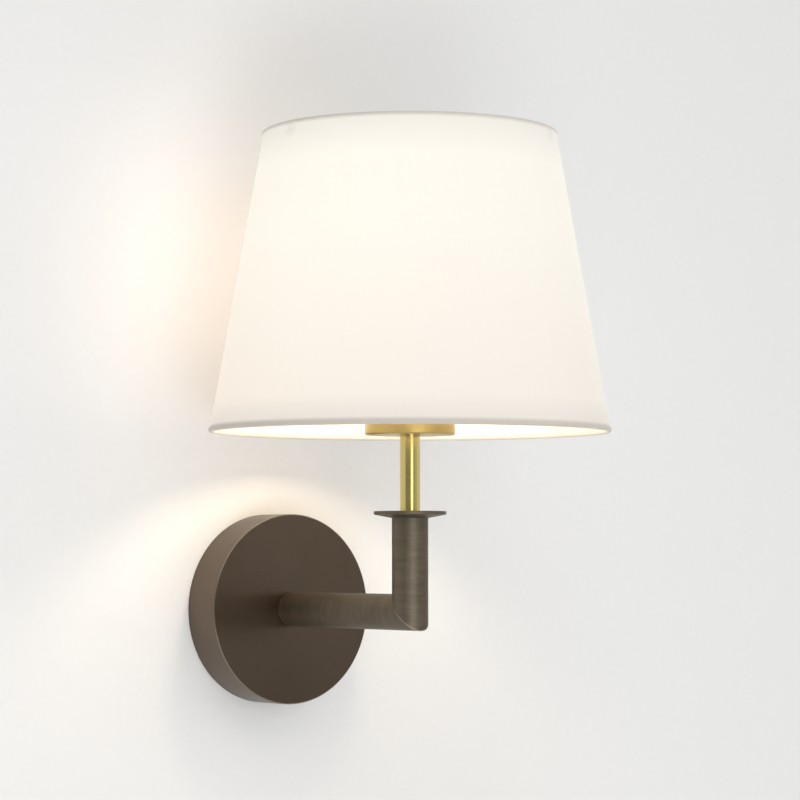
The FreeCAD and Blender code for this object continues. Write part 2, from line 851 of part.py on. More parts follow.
def shade_fabric():
    """Cloth on the liner's outside, rolled round the wire ring at each end."""
    body = new_body(
        "shade_fabric", at=("0", "-arm_reach", "shade_bottom"),
        turn=FreeCAD.Rotation(FreeCAD.Vector(0, 0, 1), FIRST_ARM_TURN),
    )
    step = 360 // HEM_SIDES
    inner = "hem_cloth_inset - cloth_thick"
    last = 60 - step * (HEM_SIDES - 1)
    low_outer = hem_corners("low_hem_out", "low_hem_up", "hem_size", 60, -step)
    low_inner = hem_corners("low_hem_out", "low_hem_up", "hem_bore", last, step)
    top_outer = hem_corners("top_hem_out", "top_hem_up", "hem_size", -60, step)
    top_inner = hem_corners("top_hem_out", "top_hem_up", "hem_bore", -last, -step)
    low_joint = ("low_hem_out + " + inner, "low_hem_up + cloth_join")
    top_joint = ("top_hem_out + " + inner, "top_hem_up - cloth_join")
    spin(body, low_outer + low_inner + [low_joint, top_joint] + top_inner[::-1] + top_outer[::-1])
    slit = new_sketch(body, "XY_Plane", "shade_height + cut_overrun")
    left = "top_hem_out - hem_size - cut_overrun"
    add_outline(slit, [
        (left, "-hem_slit / 2"),
        ("carrier_end", "-hem_slit / 2"),
        ("carrier_end", "hem_slit / 2"),
        (left, "hem_slit / 2"),
    ])
    opened = cut(body, slit, "2 * hem_size + 2 * cut_overrun")
    around(body, [opened], CARRIER_ARMS)


# Bulb


def add_round_run(sketch, centre, radius, start, end):
    """An arc of a circle about the centre between two angles in radians."""
    circle = Part.Circle(FreeCAD.Vector(*centre, 0), FreeCAD.Vector(0, 0, 1), radius)
    return sketch.addGeometry(Part.ArcOfCircle(circle, start, end), False)


def bulb_glass():
    """A hollow ball, and a hollow curve from it down to the neck: tangent arcs, inside and outside."""
    body = new_body("bulb_glass", at=("0", "-arm_reach", "bulb_bottom"))
    sketch = new_sketch(body, "XZ_Plane")
    ball, neck = value("bulb_dia / 2"), value("bulb_neck_dia / 2")
    centre, low, wall = value("bulb_centre"), value("cap_length"), value("bulb_glass_wall")
    rise = centre - low
    curve = (neck**2 + rise**2 - ball**2) / (2 * (ball - neck))
    slope = math.atan2(rise, neck + curve)
    outer_ball = add_round_run(sketch, (0, centre), ball, -slope, math.pi / 2)
    outer_neck = add_round_run(sketch, (neck + curve, low), curve, math.pi - slope, math.pi)
    inner_ball = add_round_run(sketch, (0, centre), ball - wall, -slope, math.pi / 2)
    inner_neck = add_round_run(sketch, (neck + curve, low), curve + wall, math.pi - slope, math.pi)
    rim = sketch.addGeometry(Part.LineSegment(
        point("bulb_neck_dia / 2", "cap_length"), point("bulb_neck_dia / 2 - bulb_glass_wall", "cap_length"),
    ), False)
    crown = sketch.addGeometry(Part.LineSegment(
        point("0", "bulb_length - bulb_glass_wall"), point("0", "bulb_length"),
    ), False)
    pin(sketch, outer_ball, 3, "0", "bulb_centre")
    pin(sketch, rim, 1, "bulb_neck_dia / 2", "cap_length")
    pin(sketch, rim, 2, "bulb_neck_dia / 2 - bulb_glass_wall", "cap_length")
    pin(sketch, crown, 1, "0", "bulb_length - bulb_glass_wall")
    pin(sketch, crown, 2, "0", "bulb_length")
    sketch.addConstraint(Sketcher.Constraint("Coincident", outer_ball, 3, inner_ball, 3))
    for ball_arc, neck_arc, rim_end, crown_end in ((outer_ball, outer_neck, 1, 2), (inner_ball, inner_neck, 2, 1)):
        sketch.addConstraint(Sketcher.Constraint("Coincident", ball_arc, 2, crown, crown_end))
        sketch.addConstraint(Sketcher.Constraint("Coincident", neck_arc, 2, rim, rim_end))
        sketch.addConstraint(Sketcher.Constraint("Tangent", ball_arc, 1, neck_arc, 1))
        dimension(sketch, Sketcher.Constraint("DistanceY", -1, 1, neck_arc, 3, low), "cap_length")
    glass = feature(body, "Revolution", sketch)
    glass.ReferenceAxis = (sketch, ["V_Axis"])
    glass.Angle = 360


def bulb_cap():
    body = new_body("bulb_cap", at=("0", "-arm_reach", "bulb_bottom"))
    side = "cap_dia / 2"
    flare = "cap_flare_dia / 2"
    flare_low = "cap_length - cap_flare_height"
    mouth = "cap_mouth_dia / 2"
    spin(body, [
        (mouth, "cap_shoulder_low"),
        (side, "cap_shoulder_high"),
        (side, flare_low),
        (flare, "cap_length"),
        (flare + " - cap_sheet", "cap_length"),
        (side + " - cap_sheet", flare_low + " + cap_sheet / 2"),
        (side + " - cap_sheet", "cap_shoulder_high + cap_sheet / 2"),
        (mouth + " - cap_sheet / 2", "cap_shoulder_low + cap_sheet"),
    ])


def bulb_insulator():
    body = new_body("bulb_insulator", at=("0", "-arm_reach", "bulb_bottom"))
    spin(body, [
        ("0", "bulb_contact_height"),
        ("insulator_nose_dia / 2", "bulb_contact_height"),
        ("insulator_dia / 2", "insulator_side"),
        ("insulator_dia / 2", "insulator_top"),
        ("0", "insulator_top"),
    ])


def bulb_contact():
    body = new_body("bulb_contact", at=("0", "-arm_reach", "bulb_bottom"))
    spin(body, [
        ("0", "0"),
        ("bulb_contact_face_dia / 2", "0"),
        ("bulb_contact_dia / 2", "bulb_contact_bevel"),
        ("bulb_contact_dia / 2", "bulb_contact_height"),
        ("0", "bulb_contact_height"),
    ])


# Terminal block and earth point, inside the plate

BLOCK = ("0", "-block_level", "-block_drop")


def terminal_block():
    body = new_body("terminal_block", at=BLOCK, turn=TOWARDS_ROOM)
    foot = new_sketch(body, "XY_Plane")
    add_rectangle(foot, "block_width", "block_length")
    pad(body, foot, "block_slab")
    first_pole = f"-pole_pitch * {(POLES - 1) // 2}"
    plan = new_sketch(body, "XY_Plane", "block_slab")
    add_rectangle(plan, "pole_width", "block_length", first_pole)
    tower = pad(body, plan, "block_height - block_slab")
    top = new_sketch(body, "XY_Plane", "block_height")
    for side in ("", "-"):
        add_circle(top, "pole_well_dia", first_pole, side + "pole_screw_row")
    wells = cut(body, top, "block_height - pole_axis")
    end = new_sketch(body, "XZ_Plane")
    opening = "sleeve_side + 2 * slip_gap"
    add_rectangle(end, opening, opening, first_pole, "pole_axis")
    bore = cut_through(body, end)
    along_x(body, [tower, wells, bore], "pole_pitch", POLES)
    fixings = new_sketch(body, "XY_Plane")
    for side in ("", "-"):
        add_circle(fixings, "fixing_dia + 2 * thread_gap", side + "pole_pitch / 2")
    body.Tip = cut_through(body, fixings)


def terminal_sleeves():
    body = new_body("terminal_sleeves", at=BLOCK, turn=TOWARDS_ROOM)
    first_pole = f"-pole_pitch * {(POLES - 1) // 2}"
    end = new_sketch(body, "XZ_Plane")
    add_rectangle(end, "sleeve_side", "sleeve_side", first_pole, "pole_axis")
    add_circle(end, "sleeve_bore_dia", first_pole, "pole_axis")
    tube = pad(body, end, "sleeve_length", both_ways=True)
    top = new_sketch(body, "XY_Plane", "block_height")
    for side in ("", "-"):
        add_circle(top, "pole_screw_dia + 2 * thread_gap", first_pole, side + "pole_screw_row")
    holes = cut(body, top, "block_height - pole_axis")
    along_x(body, [tube, holes], "pole_pitch", POLES)


def terminal_screws():
    """Six headless screws, each sunk in its well and close to its wire."""
    body = new_body("terminal_screws", at=BLOCK, turn=TOWARDS_ROOM)
    first_pole = f"-pole_pitch * {(POLES - 1) // 2}"
    top = "block_height - pole_screw_sunk"
    plan = new_sketch(body, "XY_Plane", top)
    for side in ("", "-"):
        add_circle(plan, "pole_screw_dia", first_pole, side + "pole_screw_row")
    pair = pad(body, plan, top + " - pole_axis - wire_dia / 2 - slip_gap", reverse=True)
    along_x(body, [pair], "pole_pitch", POLES)


def terminal_fixings():
    body = new_body("terminal_fixings", at=BLOCK, turn=TOWARDS_ROOM)
    for dia, length, reverse in (
        ("fixing_dia", "block_slab + bracket_sheet - slip_gap", True),
        ("fixing_head_dia", "fixing_head", False),
    ):
        plan = new_sketch(body, "XY_Plane", "block_slab")
        for side in ("", "-"):
            add_circle(plan, dia, side + "pole_pitch / 2")
        pad(body, plan, length, reverse=reverse)


def earth_point():
    """A welded stud with a ring tag, a washer and a nut, stacked from the plate's inner face."""
    def at(level):
        return ("earth_across", f"{level} - plate_inner_face", "-earth_down")

    hole = "earth_stud_dia + 2 * thread_gap"
    stud = new_body("earth_stud", at=at("0 * plate_depth"), turn=TOWARDS_WALL)
    section = new_sketch(stud, "XY_Plane")
    add_circle(section, "earth_stud_dia")
    pad(stud, section, "earth_stud_length")
    tag = rod(
        "earth_tag", "earth_washer_thick", "earth_washer_dia", hole,
        at=at("0 * plate_depth"), turn=TOWARDS_WALL,
    )
    neck = new_sketch(tag, "XY_Plane")
    add_rectangle(neck, "tag_neck_width", "2 * tag_neck", up="-earth_washer_dia / 2 - tag_neck / 2")
    pad(tag, neck, "earth_washer_thick")
    barrel = new_sketch(tag, "XZ_Plane", "earth_washer_dia / 2 + tag_neck")
    add_circle(barrel, "tag_barrel_dia", up="tag_barrel_up")
    pad(tag, barrel, "tag_barrel_length")
    wire = new_sketch(tag, "XZ_Plane", "earth_washer_dia / 2 + tag_neck + tag_barrel_length")
    add_circle(wire, "wire_dia + 2 * slip_gap", up="tag_barrel_up")
    cut(tag, wire, "tag_barrel_length - earth_washer_thick")
    rod(
        "earth_washer", "earth_washer_thick", "earth_washer_dia", hole,
        at=at("earth_washer_thick"), turn=TOWARDS_WALL,
    )
    nut = new_body("earth_nut", at=at("2 * earth_washer_thick"), turn=TOWARDS_WALL)
    section = new_sketch(nut, "XY_Plane")
    add_regular(section, NUT_SIDES, "earth_nut_flats")
    add_circle(section, hole)
    pad(nut, section, "earth_nut_height")


# Wiring


def wire_section(start, way, radius):
    """The wire's end, a regular outline square to its first run."""
    across = way.cross(FreeCAD.Vector(0, 1, 0)).normalize() * radius
    turn = FreeCAD.Rotation(way, 360 / WIRE_SIDES)
    corners = [start + across]
    for _ in range(WIRE_SIDES):
        across = turn.multVec(across)
        corners.append(start + across)
    return Part.makePolygon(corners)


def route_wire(label, stops, elbow=None):
    """A wire along straight runs joined by tangent arcs; elbow is the stop that turns in the tube."""
    points = [FreeCAD.Vector(*(value(text) for text in stop)) for stop in stops]
    edges, length = [], 0.0
    start = points[0]
    for index in range(1, len(points) - 1):
        before, here, after = points[index - 1 : index + 2]
        way_in, way_out = (here - before).normalize(), (after - here).normalize()
        half_turn = way_in.getAngle(way_out) / 2
        shorter = min((here - before).Length, (after - here).Length)
        radius = WIRE_BEND_SHARE * shorter / math.tan(half_turn)
        if index == elbow:
            radius = value("wire_elbow_bend")
        setback = radius * math.tan(half_turn)
        entry, leave = here - way_in * setback, here + way_out * setback
        towards = (way_out - way_in).normalize()
        middle = here + towards * (radius / math.cos(half_turn) - radius)
        edges += [Part.LineSegment(start, entry).toShape(), Part.Arc(entry, middle, leave).toShape()]
        length += (entry - start).Length + radius * 2 * half_turn
        print(f"{label}: bend {index} has a radius of {radius:.1f} mm")
        start = leave
    edges.append(Part.LineSegment(start, points[-1]).toShape())
    length += (points[-1] - start).Length
    radius = value("wire_dia") / 2
    section = wire_section(points[0], points[1] - points[0], radius)
    shape = Part.Wire(edges).makePipeShell([section], True, False)
    expected = Part.Face(section).Area * length
    if abs(shape.Volume / expected - 1) > 0.01:
        raise RuntimeError(f"{label}: volume {shape.Volume:.1f}, expected {expected:.1f}")
    print(f"{label}: {length:.0f} mm long")
    piece = DOC.addObject("Part::Feature", label)
    piece.Label = label
    piece.Shape = shape
    piece.Placement = FreeCAD.Placement()
    PIECES.append(piece)


def lamp_wires():
    """From the terminal block through the nipple, arm, upright and stem to the lampholder."""
    depth = "-block_level - pole_axis"
    block_top = "block_length / 2 - block_drop"
    for label, side in (("live_wire", "-"), ("neutral_wire", "")):
        pole, lane = side + "pole_pitch", side + "wire_spread"
        loop = "base_bottom + rod_in_holder + wire_top_loop"
        route_wire(label, [
            (pole, depth, block_top + " - wire_in_pole"),
            (pole, depth, block_top + " + wire_lead_in"),
            (lane, "-wire_loop_back", "0"),
            (lane, "-arm_reach", "0"),
            (lane, "-arm_reach", loop),
            (side + "terminal_out", "-arm_reach", loop),
            (side + "terminal_out", "-arm_reach", "terminal_level + terminal_height / 2"),
        ], elbow=3)


def earth_wire():
    """From the tag on the plate, in front of the nipple's wires, to the middle pole."""
    depth = "-block_level - pole_axis"
    tag_out = "tag_barrel_up - plate_inner_face"
    tag_top = "earth_washer_dia / 2 + tag_neck + tag_barrel_length - earth_down"
    crossing = tag_top + " + earth_wire_rise / 3"
    route_wire("earth_wire", [
        ("earth_across", tag_out, tag_top + " - tag_barrel_length / 2"),
        ("earth_across", tag_out, tag_top + " + earth_wire_rise"),
        ("earth_across / 2", f"({tag_out} + {depth}) / 2 - wire_dia", crossing),
        ("0", depth + " - earth_wire_forward", crossing + " - wire_dia"),
        ("0", depth, crossing + " - 2 * wire_dia"),
        ("0", depth, "block_length / 2 - block_drop - wire_in_pole"),
    ])


def build():
    fill_sheet()
    backplate()
    wall_bracket()
    cover_screws()
    arm_tube()
    upright_tube()
    arm_fixing()
    collar()
    stem()
    lampholder_cup()
    holder_base()
    holder_skirt()
    holder_core()
    holder_thread_shell()
    centre_contact()
    holder_terminals()
    holder_terminal_screws()
    shade_ring()
    carrier_ring()
    carrier_arms()
    hem_ring("shade_bottom_ring", "low_hem_out", "low_hem_up")
    hem_ring("shade_top_ring", "top_hem_out", "top_hem_up")
    shade_liner()
    shade_fabric()
    bulb_glass()
    bulb_cap()
    bulb_insulator()
    bulb_contact()
    terminal_block()
    terminal_sleeves()
    terminal_screws()
    terminal_fixings()
    earth_point()
    lamp_wires()
    earth_wire()
    DOC.recompute()


def check():
    """Stop if a feature failed, a cut removed nothing, or a piece is empty or broken."""
    for item in DOC.Objects:
        if "Invalid" in item.State or "Error" in item.State:
            raise RuntimeError(f"{item.Label} failed: {item.State}")
        if item.TypeId == "PartDesign::Pocket":
            before = item.BaseFeature.Shape.Volume
            if item.Shape.Volume >= before * (1 - 1e-9):
                raise RuntimeError(f"{item.Label} cuts nothing")
    for piece in PIECES:
        if piece.Shape.isNull() or not piece.Shape.isValid() or not piece.Shape.Solids:
            raise RuntimeError(f"{piece.Label} has no valid solid")


def write_parts():
    os.makedirs("parts", exist_ok=True)
    for piece in PIECES:
        piece.Shape.exportStep(f"parts/{piece.Label}.step")
        box = piece.Shape.BoundBox
        print(
            f"{piece.Label}: {len(piece.Shape.Solids)} solid(s), {piece.Shape.Volume:.1f} mm3, "
            f"z {box.ZMin:.2f} to {box.ZMax:.2f}"
        )


build()
check()
write_parts()
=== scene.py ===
import json
import math

import bpy
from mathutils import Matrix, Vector


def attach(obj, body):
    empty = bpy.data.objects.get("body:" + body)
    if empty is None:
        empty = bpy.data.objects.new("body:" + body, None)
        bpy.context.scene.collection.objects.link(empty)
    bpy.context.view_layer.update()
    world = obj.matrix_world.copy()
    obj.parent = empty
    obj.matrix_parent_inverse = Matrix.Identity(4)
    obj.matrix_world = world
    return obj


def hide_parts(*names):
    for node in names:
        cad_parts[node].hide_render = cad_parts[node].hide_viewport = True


# The wall is the plane y = 0, the room is towards -Y, +Z is up, and all lengths are in metres.
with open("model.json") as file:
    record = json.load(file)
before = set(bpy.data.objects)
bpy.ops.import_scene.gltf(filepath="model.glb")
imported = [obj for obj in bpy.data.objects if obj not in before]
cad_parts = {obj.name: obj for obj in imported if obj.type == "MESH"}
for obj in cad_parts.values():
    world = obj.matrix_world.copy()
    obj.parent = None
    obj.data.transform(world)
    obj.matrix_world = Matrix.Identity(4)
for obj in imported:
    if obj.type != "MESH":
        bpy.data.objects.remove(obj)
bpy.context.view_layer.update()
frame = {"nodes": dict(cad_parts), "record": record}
NODES = frame["nodes"]
MM = 0.001

# Camera
CAMERA_PLACE = Vector((-0.95357, -1.33059, 0.03478))
CAMERA_LOOK = Vector((0.61994, 0.78282, 0.05361))
CAMERA_LENS = 124.94

# Wall plate
PLATE_FRONT = -25.8 * MM
PLATE_RADIUS = 55 * MM

# Lamp axis and the shade's outline: radius and height of its two hem wires
AXIS_Y = -135.4 * MM
LOW_HEM = Vector((109.4, 0, 100.28)) * MM
TOP_HEM = Vector((80.5, 0, 263.22)) * MM

# Cloth: its hems turn 250 degrees round their wires
HEM_RADIUS = 1.55 * MM
HEM_TURN = 250
HEM_STEPS = 20
CONE_STEPS = 24
MEAN_RADIUS = 95 * MM
CLOTH_THICK = 0.45 * MM
CLOTH_OUT = 0.8 * MM
SEAM_LIFT = 0.3 * MM

# Arms of the carrier and the bulb
ARM_TURNS = (60, 180, 300)
ARM_TIP_HEIGHT = 259.5 * MM
BULB_PLACE = Vector((0, AXIS_Y, 210.7 * MM))

# Stage, and the glow of the shade on the wall behind it
STAGE_HALF = 3.0
STAGE_DEPTH = 4.0
FLOOR_HEIGHT = -0.95
WALL_TOP = 3.2
WALL_BACK = 0.5 * MM
WALL_HOLE = 49 * MM
GLOW_PLACE = Vector((-30, 0, 199)) * MM
GLOW_SIZE = 62 * MM


# Materials


class Finish:
    """A material: one Principled shader and the nodes that vary it over the surface."""

    def __init__(self, name, **sockets):
        self.material = bpy.data.materials.new(name)
        self.material.use_nodes = True
        self.tree = self.material.node_tree
        self.shader = self.tree.nodes["Principled BSDF"]
        for socket, value in sockets.items():
            self.shader.inputs[socket.replace("_", " ")].default_value = value

    def node(self, kind, inputs=(), **settings):
        made = self.tree.nodes.new("ShaderNode" + kind)
        for name, value in settings.items():
            setattr(made, name, value)
        for name, value in dict(inputs).items():
            if isinstance(value, bpy.types.NodeSocket):
                self.tree.links.new(value, made.inputs[name])
            else:
                made.inputs[name].default_value = value
        return made

    def wire(self, output, socket):
        self.tree.links.new(output, self.shader.inputs[socket])

    def place(self):
        """Position on the object, in metres."""
        return self.node("TexCoord").outputs["Object"]

    def axes(self):
        """The three coordinates of the position on the object."""
        return self.node("SeparateXYZ", {"Vector": self.place()}).outputs

    def apart(self, point):
        """Distance of the position on the object from a point."""
        return self.node("VectorMath", {0: self.place(), 1: point}, operation="DISTANCE").outputs["Value"]

    def length(self, **parts):
        """Length of the vector that has these parts."""
        vector = self.node("CombineXYZ", parts).outputs["Vector"]
        return self.node("VectorMath", {0: vector}, operation="LENGTH").outputs["Value"]

    def stretched(self, scale, place=None):
        return self.node("Mapping", {"Vector": place or self.place(), "Scale": scale}).outputs["Vector"]

    def noise(self, vector, scale=1.0, detail=3.0, roughness=0.55):
        settings = {"Vector": vector, "Scale": scale, "Detail": detail, "Roughness": roughness}
        return self.node("TexNoise", settings).outputs["Fac"]

    def between(self, factor, low, high, start=0.3, end=0.7):
        """A number that goes from low to high as the factor goes from start to end."""
        settings = {"Value": factor, "From Min": start, "From Max": end, "To Min": low, "To Max": high}
        return self.node("MapRange", settings).outputs["Result"]

    def blend(self, colour, other, share):
        """The colour where share is 0, the other one where it is 1."""
        inputs = {"Factor": share, 6: colour, 7: (*other, 1)}
        return self.node("Mix", inputs, data_type="RGBA").outputs[2]

    def tint(self, factor, dark, light, start=0.3, end=0.7):
        """A colour that goes from dark to light as the factor goes from start to end."""
        return self.blend((*dark, 1), light, self.between(factor, 0.0, 1.0, start, end))

    def math(self, operation, first, second=0.0, third=0.0):
        return self.node("Math", {0: first, 1: second, 2: third}, operation=operation).outputs[0]

    def bump(self, height, distance):
        inputs = {"Height": height, "Distance": distance, "Strength": 1.0}
        return self.node("Bump", inputs).outputs["Normal"]


def bronze(name, lines, dark, light, detail=6.0):
    """Dark satin bronze; lines is the scale of its marks along each axis."""
    made = Finish(name, Metallic=1.0)
    marks = made.noise(made.stretched(lines), 1.0, detail, 0.72)
    return made, marks, made.tint(marks, dark, light, 0.38, 0.62)


def plate_bronze():
    """Spun bronze under lacquer, glossier on its flat front than on its side, with a painted highlight along
    its front edge.
    """
    dark, light = (0.144, 0.1055, 0.076), (0.147, 0.108, 0.079)
    made, marks, colour = bronze("bronze", (60, 60, 60), dark, light, detail=2.0)
    axes = made.axes()
    side = made.between(axes["Y"], 0.0, 1.0, PLATE_FRONT + 0.1 * MM, PLATE_FRONT + 0.9 * MM)
    front = made.between(axes["Y"], 1.0, 0.0, PLATE_FRONT + 0.3 * MM, PLATE_FRONT + 0.6 * MM)
    radius = made.length(X=axes["X"], Z=axes["Z"])
    painted_edge_highlight = made.between(radius, 0.0, 1.0, PLATE_RADIUS - 0.7 * MM, PLATE_RADIUS - 0.3 * MM)
    rough = made.math("ADD", made.between(marks, 0.266, 0.274), made.math("MULTIPLY", side, 0.09))
    made.wire(rough, "Roughness")
    colour = made.blend(colour, (0.150, 0.114, 0.086), side)
    # painted highlight: a lighter line along the chamfer of the front edge
    colour = made.blend(colour, (0.25, 0.225, 0.185), made.math("MULTIPLY", front, painted_edge_highlight))
    made.wire(colour, "Base Color")
    made.wire(made.node("Tangent", direction_type="RADIAL", axis="Y").outputs["Tangent"], "Tangent")
    made.shader.inputs["Anisotropic"].default_value = 0.5
    return made.material


def tube_bronze(name, lines):
    """Bronze brushed round its piece, with a painted highlight along the mitre's outer edge."""
    made, marks, colour = bronze(name, lines, (0.13, 0.107, 0.078), (0.17, 0.143, 0.108))
    made.wire(made.bump(marks, 0.002 * MM), "Normal")
    made.wire(made.between(marks, 0.48, 0.58), "Roughness")
    axes = made.axes()
    from_mitre = made.math("SUBTRACT", axes["Z"], made.math("SUBTRACT", axes["Y"], AXIS_Y))
    painted_mitre_highlight = made.between(made.math("ABSOLUTE", from_mitre), 1.0, 0.0, 0.15 * MM, 0.55 * MM)
    outer = made.between(axes["Z"], 1.0, 0.0, -4 * MM, 3 * MM)
    # painted highlight: a lighter line along the outer half of the mitre
    colour = made.blend(colour, (0.36, 0.315, 0.25), made.math("MULTIPLY", painted_mitre_highlight, outer))
    made.wire(colour, "Base Color")
    return made.material


def brass(name, lines, dark=(0.60, 0.49, 0.175), light=(0.63, 0.52, 0.195), rough=(0.205, 0.215)):
    """Satin brass, or another bright metal, with fine drawn lines."""
    made = Finish(name, Metallic=1.0)
    marks = made.noise(made.stretched(lines), roughness=0.6)
    patches = made.noise(made.place(), 25.0, 2.0)
    made.wire(made.tint(patches, dark, light), "Base Color")
    made.wire(made.between(marks, *rough), "Roughness")
    return made.material


def plated_steel(name, dark, light, rough=(0.28, 0.42)):
    """Rolled and plated steel: a soft crystal pattern and fine rolling lines."""
    made = Finish(name, Metallic=1.0)
    crystals = made.node("TexVoronoi", {"Vector": made.place(), "Scale": 420.0}).outputs["Color"]
    spangle = made.node("RGBToBW", {"Color": crystals}).outputs["Val"]
    rolled = made.noise(made.stretched((2500, 60, 60)))
    mixed = made.math("MULTIPLY_ADD", spangle, 0.35, made.math("MULTIPLY", rolled, 0.65))
    made.wire(made.tint(mixed, dark, light), "Base Color")
    made.wire(made.between(mixed, *rough), "Roughness")
    made.wire(made.bump(rolled, 0.006 * MM), "Normal")
    return made.material


def plastic(name, dark, light, rough=0.45, grain=1400.0, depth=0.02 * MM):
    """Smooth or moulded surface with a fine grain, such as plastic, enamel or dark glass."""
    made = Finish(name)
    fine = made.noise(made.place(), grain)
    broad = made.noise(made.place(), 90.0, 2.0)
    made.wire(made.tint(broad, dark, light), "Base Color")
    made.wire(made.between(fine, rough - 0.06, rough + 0.08), "Roughness")
    made.wire(made.bump(fine, depth), "Normal")
    return made.material


def striped_insulation(name):
    """Green insulation with a yellow stripe that winds round it."""
    made = Finish(name)
    wave = made.node("TexWave", {"Vector": made.place(), "Scale": 90.0}, bands_direction="DIAGONAL")
    green, yellow = (0.05, 0.25, 0.06), (0.72, 0.62, 0.05)
    fine = made.noise(made.place(), 1500.0)
    made.wire(made.tint(wave.outputs["Fac"], green, yellow, 0.48, 0.52), "Base Color")
    made.wire(made.between(fine, 0.40, 0.52), "Roughness")
    made.wire(made.bump(fine, 0.01 * MM), "Normal")
    return made.material


def opal_glass():
    """White glass of the lit bulb."""
    made = Finish("opal_glass", Roughness=0.12, Emission_Strength=0.42, Coat_Weight=0.3)
    depth = made.noise(made.place(), 26.0, 2.0)
    made.wire(made.tint(depth, (0.70, 0.685, 0.65), (0.73, 0.72, 0.69)), "Base Color")
    made.wire(made.tint(depth, (0.95, 0.84, 0.66), (1.0, 0.92, 0.77)), "Emission Color")
    return made.material


def shade_glow(made, strength, low_edge, top_edge):
    """Glow of the lit shade: weaker at its foot and top, brighter towards both sides and the wall as painted
    light, with painted shadows of the arms at their tips, and none outside on the low hem.
    """
    axes = made.axes()
    height = axes["Z"]
    wallward = made.math("SUBTRACT", axes["Y"], AXIS_Y)
    radius = made.length(X=axes["X"], Y=wallward)
    inside = made.between(radius, 1.0, 0.0, LOW_HEM.x - 1.0 * MM, LOW_HEM.x - 0.2 * MM)
    share = made.math("MAXIMUM", made.between(height, 0.0, 1.0, *low_edge), inside)
    painted_side_light = made.math("POWER", made.math("DIVIDE", axes["X"], 100 * MM), 2.0)
    lower_half, foot, top = (108 * MM, 200 * MM), (104 * MM, 115 * MM), (243 * MM, 262 * MM)
    factors = [
        made.between(height, 0.0, 1.0, *top_edge),
        made.between(height, 0.80, 1.0, *lower_half),
        made.between(height, 0.70, 1.0, *foot),
        made.between(height, 1.0, 0.72, *top),
        # painted light: the glow is made brighter towards both sides and towards the wall
        made.math("MULTIPLY_ADD", painted_side_light, 0.2, 0.94),
        made.between(wallward, 0.98, 1.48, -100 * MM, 100 * MM),
    ]
    # painted shadows of the carrier arms, just below the top hem
    for turn in ARM_TURNS:
        angle = math.radians(turn)
        tip = Vector((math.cos(angle), math.sin(angle), 0)) * TOP_HEM.x + Vector((0, AXIS_Y, ARM_TIP_HEIGHT))
        factors.append(made.between(made.apart(tip), 0.75, 1.0, 1.0 * MM, 6.0 * MM))
    for factor in factors:
        share = made.math("MULTIPLY", share, factor)
    made.wire(made.tint(height, (1.0, 0.82, 0.64), (1.0, 0.94, 0.77), 0.10, 0.21), "Emission Color")
    return made.math("MULTIPLY", share, strength)


def shade_cloth_finish():
    """Fine plain weave, lit from inside, with painted shade on its hems."""
    made = Finish("cloth", Roughness=0.9, Sheen_Weight=0.2, Sheen_Roughness=0.5)
    sheet = made.node("UVMap", uv_map="weave").outputs["UV"]
    weft = made.noise(made.stretched((1700, 26, 1), sheet), 1.0, 2.0)
    warp = made.noise(made.stretched((26, 1700, 1), sheet), 1.0, 2.0)
    slubs = made.math("ADD", weft, warp)
    dark, light, hem_shade_colour = (0.605, 0.583, 0.553), (0.616, 0.595, 0.565), (0.567, 0.517, 0.46)
    colour = made.tint(slubs, dark, light, 0.75, 1.25)
    height = made.axes()["Z"]
    # painted shade: the hems are coloured darker and browner than the rest of the cloth
    low_hem = made.between(height, 1.0, 0.0, 101.0 * MM, 103.0 * MM)
    top_hem = made.between(height, 0.0, 1.0, 262.4 * MM, 264.0 * MM)
    painted_hem_shade = made.math("MAXIMUM", low_hem, top_hem)
    made.wire(made.blend(colour, hem_shade_colour, painted_hem_shade), "Base Color")
    made.wire(made.bump(slubs, 0.008 * MM), "Normal")
    low_edge, top_edge = (100.9 * MM, 103.0 * MM), (263.9 * MM, 261.9 * MM)
    glow = shade_glow(made, 0.34, low_edge, top_edge)
    weave = made.between(slubs, 0.992, 1.006, 0.7, 1.3)
    made.wire(made.math("MULTIPLY", glow, weave), "Emission Strength")
    return made.material


def liner_finish():
    """Smooth translucent laminate, lit by the bulb."""
    made = Finish("liner", Roughness=0.6)
    broad = made.noise(made.place(), 40.0, 2.0)
    made.wire(made.tint(broad, (0.78, 0.765, 0.725), (0.81, 0.80, 0.76)), "Base Color")
    made.wire(made.bump(made.noise(made.place(), 700.0), 0.004 * MM), "Normal")
    low_edge, top_edge = (90 * MM, 95 * MM), (280 * MM, 270 * MM)
    made.wire(shade_glow(made, 0.08, low_edge, top_edge), "Emission Strength")
    return made.material


